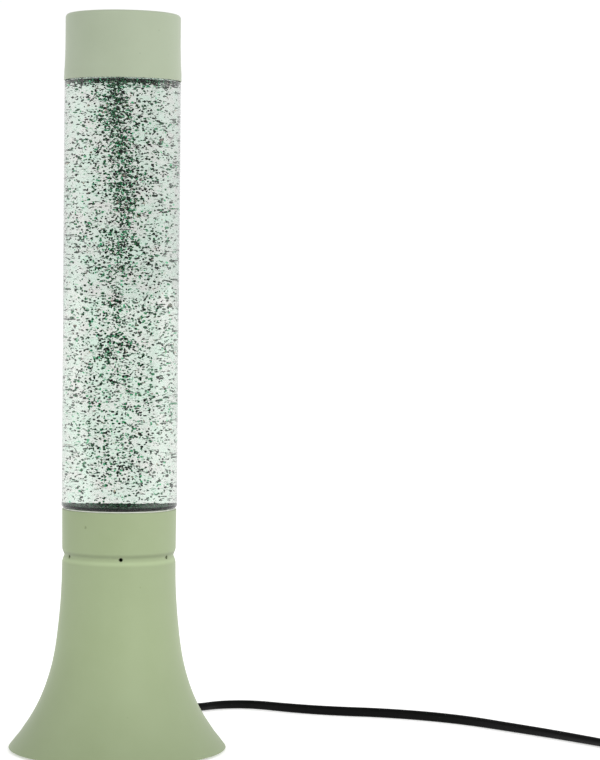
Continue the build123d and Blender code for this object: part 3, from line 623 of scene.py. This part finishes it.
# ------------------------------------------------------------------ glitter
rng = np.random.default_rng(11)
GROUPS = [
    ("flakes_dark", "dark_glitter", 0.42, flake_mat("flakes_dark", (0, 40, 16), (2, 72, 34), 0.0, 0.4)),
    ("flakes_green", "green_glitter", 0.22, flake_mat("flakes_green", (4, 122, 64), (20, 170, 100), 0.5, 0.35)),
    ("flakes_mint", "green_glitter", 0.22, flake_mat("flakes_mint", (104, 234, 168), (150, 250, 206), 1.0, 0.35)),
    ("flakes_grey", "dark_glitter", 0.05, flake_mat("flakes_grey", (60, 92, 78), (92, 122, 108), 0.0, 0.4)),
    ("flakes_brown", "dark_glitter", 0.05, flake_mat("flakes_brown", (34, 28, 24), (62, 50, 42), 0.0, 0.4)),
    ("flakes_pale", "green_glitter", 0.04, flake_mat("flakes_pale", (236, 214, 190), (240, 206, 210), 1.0, 0.35)),
]


def flake_mesh(name, pos, nrm, spin, size, thick=0.045):
    """Thin hexagonal prisms, all in one mesh. Positions and sizes in mm."""
    n = len(pos)
    nrm = nrm / np.linalg.norm(nrm, axis=1)[:, None]
    helper = np.where(np.abs(nrm[:, 2:3]) < 0.9, [[0, 0, 1.0]], [[1.0, 0, 0]])
    u = np.cross(nrm, helper)
    u /= np.linalg.norm(u, axis=1)[:, None]
    v = np.cross(nrm, u)
    ang = spin[:, None] + np.arange(6)[None, :] * math.pi / 3
    ring = size[:, None, None] * (np.cos(ang)[..., None] * u[:, None, :] + np.sin(ang)[..., None] * v[:, None, :])
    half = (nrm * thick / 2)[:, None, :]
    verts = np.concatenate([pos[:, None, :] + ring - half, pos[:, None, :] + ring + half], axis=1).reshape(-1, 3) * MM
    faces = []
    for i in range(n):
        k = 12 * i
        faces.append([k + 5, k + 4, k + 3, k + 2, k + 1, k])
        faces.append([k + 6, k + 7, k + 8, k + 9, k + 10, k + 11])
        for j in range(6):
            q = (j + 1) % 6
            faces.append([k + j, k + q, k + 6 + q, k + 6 + j])
    me = bpy.data.meshes.new(name)
    me.from_pydata(verts.tolist(), [], faces)
    me.update()
    return me


def scatter(total):
    """Where the flakes hang: a dense plume about the axis in the upper half, thinner towards the bottom, in loose clouds."""
    pos = []
    zlo, zhi, rmax = 135.6, 363.7, 28.3
    clouds = [(rng.uniform(0, 27), rng.uniform(0, 2 * math.pi), rng.uniform(140, 362), rng.uniform(3, 9)) for _ in range(46)]
    centre = np.array([[r * math.cos(a), r * math.sin(a), z, s] for r, a, z, s in clouds])
    while len(pos) < total:
        kind = rng.random()
        if kind < 0.17:
            z = zhi - abs(rng.normal(0, 62)) if rng.random() < 0.9 else rng.uniform(200, 300)
            wander = -0.9 + 2.2 * math.sin(z / 21.0)
            x, y = rng.normal(wander, 3.0), rng.normal(0, 8.5)
        elif kind < 0.30:
            c = centre[rng.integers(len(centre))]
            x, y, z = rng.normal(c[0], c[3]), rng.normal(c[1], c[3]), rng.normal(c[2], c[3] * 0.45)
        elif kind < 0.335:
            r, a = rmax * rng.random() ** 0.4, rng.uniform(0, 2 * math.pi)
            x, y, z = r * math.cos(a), r * math.sin(a), zhi - abs(rng.normal(0, 1.5))
        else:
            r, a = rmax * rng.random() ** 0.42, rng.uniform(0, 2 * math.pi)
            x, y, z = r * math.cos(a), r * math.sin(a), rng.uniform(zlo, zhi)
        if math.hypot(x, y) < rmax and zlo < z < zhi:
            pos.append((x, y, z))
    return np.array(pos)


TOTAL = 13400
pos = scatter(TOTAL)
n = len(pos)
tilt = np.abs(rng.normal(0, 58, n))
tilt = np.radians(np.minimum(tilt, 90))
az = rng.uniform(0, 2 * math.pi, n)
nrm = np.stack([np.sin(tilt) * np.cos(az), np.sin(tilt) * np.sin(az), np.cos(tilt)], axis=1)
spin = rng.uniform(0, math.pi / 3, n)
size = rng.normal(0.56, 0.11, n).clip(0.34, 0.88)
pick = rng.random(n)
edge_at = np.cumsum([g[2] for g in GROUPS])
which = np.searchsorted(edge_at, pick)
which = np.minimum(which, len(GROUPS) - 1)
for gi, (name, slot_name, _, mt) in enumerate(GROUPS):
    sel = which == gi
    me = flake_mesh(name, pos[sel], nrm[sel], spin[sel], size[sel])
    o = bpy.data.objects.new(name, me)
    scene.collection.objects.link(o)
    me.materials.append(mt)
    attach(o, "bottle")
    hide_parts("glitter_flakes")


# Flakes that have settled: a thin uneven bed on the bottle's floor, with single flakes lying on it.
def bed_height(x, y):
    r = math.hypot(x, y)
    h = 0.30 + 0.12 * math.sin(x * 0.31 + 1.0) * math.cos(y * 0.27) + 0.08 * math.sin(x * 0.9 + y * 0.7)
    h += 0.55 * max(0.0, (r - 24.0) / 4.5) ** 2
    back = min(1.0, max(0.0, (y + 2.0) / 24.0))
    return max(h * (1 - 0.9 * back * back * (3 - 2 * back)), 0.08)


def bed():
    verts, faces, segs, rows = [(0, 0, (133.95 + bed_height(0, 0)) * MM)], [], 120, 22
    R = 28.35
    for i in range(1, rows + 1):
        r = R * i / rows
        for k in range(segs):
            t = 2 * math.pi * k / segs
            x, y = r * math.cos(t), r * math.sin(t)
            h = bed_height(x, y) + float(rng.normal(0, 0.05))
            verts.append((x * MM, y * MM, (133.95 + max(h, 0.06)) * MM))
    for k in range(segs):
        faces.append([0, 1 + k, 1 + (k + 1) % segs])
    for i in range(rows - 1):
        for k in range(segs):
            j = (k + 1) % segs
            faces.append([1 + i * segs + k, 1 + (i + 1) * segs + k, 1 + (i + 1) * segs + j, 1 + i * segs + j])
    base = len(verts)
    for k in range(segs):
        t = 2 * math.pi * k / segs
        verts.append((R * math.cos(t) * MM, R * math.sin(t) * MM, 133.95 * MM))
    top = 1 + (rows - 1) * segs
    for k in range(segs):
        j = (k + 1) % segs
        faces.append([top + k, base + k, base + j, top + j])
    faces.append([base + k for k in range(segs - 1, -1, -1)])
    return outward(mesh("glitter_bed", verts, faces))


bed_mat = surface("glitter_bed", (0, 66, 30), (8, 100, 54), (0.5, 0.7), 700, 1500, 0.3, 0.0, spec=0.05)
bed_obj = link("glitter_bed", bed(), bed_mat, "bottle", 60)
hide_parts("glitter_sediment")
for k, (name, count, gi) in enumerate((("bed_flakes_dark", 760, 0), ("bed_flakes_green", 560, 1), ("bed_flakes_mint", 60, 2))):
    r, a = 27.6 * np.sqrt(rng.random(count)), rng.uniform(0, 2 * math.pi, count)
    x, y = r * np.cos(a), r * np.sin(a)
    z = np.array([133.95 + bed_height(p, q) for p, q in zip(x, y)]) + rng.uniform(0.02, 0.35, count)
    t, az = np.radians(np.abs(rng.normal(0, 22, count))), rng.uniform(0, 2 * math.pi, count)
    me = flake_mesh(name, np.stack([x, y, z], 1), np.stack([np.sin(t) * np.cos(az), np.sin(t) * np.sin(az), np.cos(t)], 1),
                    rng.uniform(0, 1, count), rng.normal(0.64, 0.06, count).clip(0.45, 0.8))
    o = bpy.data.objects.new(name, me)
    scene.collection.objects.link(o)
    me.materials.append(GROUPS[gi][3])
    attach(o, "bottle")
    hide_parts("glitter_sediment")

# ------------------------------------------------------------------ CAD nodes that stay get their finishes
for row in frame["record"]["subparts"]:
    o = nodes.get(row["node"])
    mt = M.get(row["material_slot"])
    if o is None or mt is None:
        continue
    if not o.material_slots:
        o.data.materials.append(mt)
    for s in o.material_slots:
        s.material = mt

# ------------------------------------------------------------------ floor, world, lights
floor_me = mesh("floor", [(-14, -8, 0), (14, -8, 0), (14, 20, 0), (-14, 20, 0)], [[0, 1, 2, 3]])
floor = bpy.data.objects.new("floor", floor_me)
scene.collection.objects.link(floor)
fmat, nt, bsdf, vec = new_mat("floor")
cream = blend_col(nt, noise(nt, vec, 3.0), lin((243, 243, 242)), lin((247, 247, 246)))
bsdf.inputs["Roughness"].default_value = 0.9
bsdf.inputs["Specular IOR Level"].default_value = 0.1
bsdf.inputs["Emission Color"].default_value = (1, 1, 1, 1)
sep = nt.nodes.new("ShaderNodeSeparateXYZ")      # behind the camera the sweep ends and the room is dim
nt.links.new(vec, sep.inputs[0])
eye = nt.nodes.new("ShaderNodeLightPath")


def even(a, b):
    q = nt.nodes.new("ShaderNodeMath")
    q.operation = "MAXIMUM"
    nt.links.new(a, q.inputs[0])
    nt.links.new(ramp(nt, eye.outputs["Is Camera Ray"], 0, 1, 0, b), q.inputs[1])
    return q.outputs[0]


soft = nt.nodes.new("ShaderNodeMath")              # less light thrown up under the lamp than the eye sees
soft.operation = "MULTIPLY"
nt.links.new(even(ramp(nt, sep.outputs["Y"], -0.75, -0.3, 0.0, 0.44), 0.44), soft.inputs[0])
nt.links.new(ramp(nt, eye.outputs["Is Diffuse Ray"], 0, 1, 1.0, 0.25), soft.inputs[1])
nt.links.new(soft.outputs[0], bsdf.inputs["Emission Strength"])
near = even(ramp(nt, sep.outputs["Y"], -0.8, -0.35, 0.0, 1.0), 1.0)
nt.links.new(blend_col(nt, near, lin((96, 96, 96)), cream), bsdf.inputs["Base Color"])
floor_me.materials.append(fmat)

world = bpy.data.worlds.new("world")
scene.world = world
world.use_nodes = True
wn = world.node_tree
bg = wn.nodes["Background"]
tc = wn.nodes.new("ShaderNodeTexCoord")
sep = wn.nodes.new("ShaderNodeSeparateXYZ")
wn.links.new(tc.outputs["Generated"], sep.inputs[0])


def wramp(fac, lo, hi, a, b):
    r = wn.nodes.new("ShaderNodeMapRange")
    r.interpolation_type = "SMOOTHSTEP"
    r.inputs["From Min"].default_value, r.inputs["From Max"].default_value = lo, hi
    r.inputs["To Min"].default_value, r.inputs["To Max"].default_value = a, b
    wn.links.new(fac, r.inputs["Value"])
    return r.outputs["Result"]


def wmath(op, a, b):
    q = wn.nodes.new("ShaderNodeMath")
    q.operation = op
    for s, v in ((q.inputs[0], a), (q.inputs[1], b)):
        if isinstance(v, (int, float)):
            s.default_value = v
        else:
            wn.links.new(v, s)
    return q.outputs[0]


side = wramp(sep.outputs["X"], -0.95, 0.7, 0.84, 0.98)
front = wmath("MAXIMUM", wramp(sep.outputs["Y"], -0.55, 0.05, 0.24, 1.0), wramp(sep.outputs["Z"], 0.10, 0.30, 0.24, 1.0))
back = wramp(sep.outputs["Y"], 0.25, 0.85, 0.0, 0.10)
top = wramp(sep.outputs["Z"], 0.35, 0.98, 1.0, 0.66)
strength = wmath("MULTIPLY", wmath("ADD", wmath("MULTIPLY", side, front), back), top)
lp = wn.nodes.new("ShaderNodeLightPath")
seen = wmath("MAXIMUM", strength, lp.outputs["Is Camera Ray"])
wn.links.new(seen, bg.inputs["Strength"])
bg.inputs["Color"].default_value = (1.0, 1.0, 1.0, 1)


def area(name, loc, target, size, power, color=(1, 1, 1)):
    d = bpy.data.lights.new(name, "AREA")
    d.shape, d.size, d.size_y, d.energy, d.color = "RECTANGLE", size[0], size[1], power, color
    o = bpy.data.objects.new(name, d)
    scene.collection.objects.link(o)
    o.location = loc
    o.rotation_mode = "QUATERNION"
    o.rotation_quaternion = (Vector(target) - Vector(loc)).to_track_quat("-Z", "Y")
    return o


key = area("key", (1.1, -1.7, 0.55), (0, 0, 0.24), (1.2, 1.2), 14.5, (1.0, 0.99, 0.975))
fill = area("fill", (-1.2, -1.6, 0.5), (0, 0, 0.24), (1.2, 1.2), 6.5, (0.985, 0.99, 1.0))
for q in (key, fill):      # large soft boxes that light without a mirror image in the glass
    q.visible_glossy = False
    q.visible_transmission = False

print("cord length", round(cord_length, 4))
